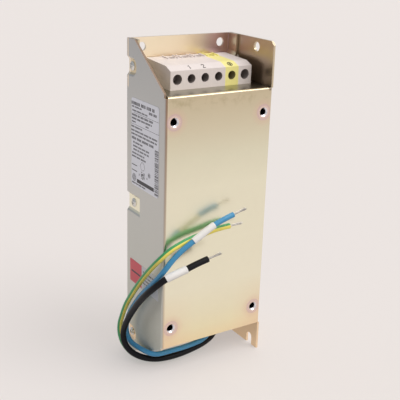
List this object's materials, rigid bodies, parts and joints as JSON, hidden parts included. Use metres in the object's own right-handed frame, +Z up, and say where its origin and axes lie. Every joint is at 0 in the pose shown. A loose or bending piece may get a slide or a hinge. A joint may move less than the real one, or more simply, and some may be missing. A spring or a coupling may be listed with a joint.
{
  "type": "emi line filter",
  "caption": "Footprint EMI line filter: a folded plated steel housing on a back plate, with a screw terminal block on its top shelf and short leads out of its floor.",
  "frame": {"origin": "middle of the footprint on the ground, without the leads", "axes": "+Z up along the housing, -Y out of the front face that carries a drive, +Y out of the face that lies against the panel, -X out of the labelled wall"},
  "size_m": [0.0933, 0.0631, 0.22],
  "materials": {
    "yellow_zinc": "yellow passivated zinc, satin",
    "bright_steel": "zinc plated",
    "beige_plastic": "moulded",
    "yellow_plastic": "moulded",
    "tinned_copper": "tinned",
    "black_rubber": "moulded",
    "green_laminate": "solder mask",
    "core_ferrite": "epoxy coated",
    "white_plastic": "moulded",
    "enamelled_copper": "clear enamel",
    "capacitor_case": "moulded",
    "disc_ceramic": "lacquered",
    "resistor_ceramic": "lacquered",
    "black_insulation": "extruded",
    "blue_insulation": "extruded",
    "earth_insulation": "extruded, green with a yellow stripe",
    "silver_film": "printed film",
    "red_film": "printed film"
  },
  "bodies": {
    "root": {"back_plate": "yellow_zinc", "front_cover": "yellow_zinc", "cover_left_wall": "yellow_zinc", "drive_inserts": "bright_steel", "side_screws": "bright_steel", "terminal_end_left": "beige_plastic", "terminal_line": "beige_plastic", "terminal_neutral": "beige_plastic", "terminal_spare": "beige_plastic", "terminal_earth": "yellow_plastic", "terminal_end_right": "beige_plastic", "clamp_cages": "bright_steel", "clamp_screws": "bright_steel", "contact_bars": "tinned_copper", "block_screws": "bright_steel", "lead_bushing": "black_rubber", "circuit_board": "green_laminate", "board_standoffs": "bright_steel", "board_screws": "bright_steel", "choke_cores": "core_ferrite", "choke_dividers": "white_plastic", "choke_windings": "enamelled_copper", "line_capacitors": "capacitor_case", "earth_capacitors": "disc_ceramic", "bleed_resistor": "resistor_ceramic", "earth_stud": "bright_steel", "earth_nut": "bright_steel", "earth_lugs": "tinned_copper", "line_feed": "black_insulation", "neutral_feed": "blue_insulation", "earth_feed": "earth_insulation", "black_tail": "black_insulation", "blue_tail": "blue_insulation", "earth_tail": "earth_insulation", "rating_label": "silver_film", "lower_label": "red_film", "lead_black": "black_insulation", "lead_blue": "blue_insulation", "lead_earth": "earth_insulation", "black_marker": "white_plastic", "blue_marker": "white_plastic", "black_strands": "tinned_copper", "blue_strands": "tinned_copper", "earth_strands": "tinned_copper"}
  },
  "joints": []
}
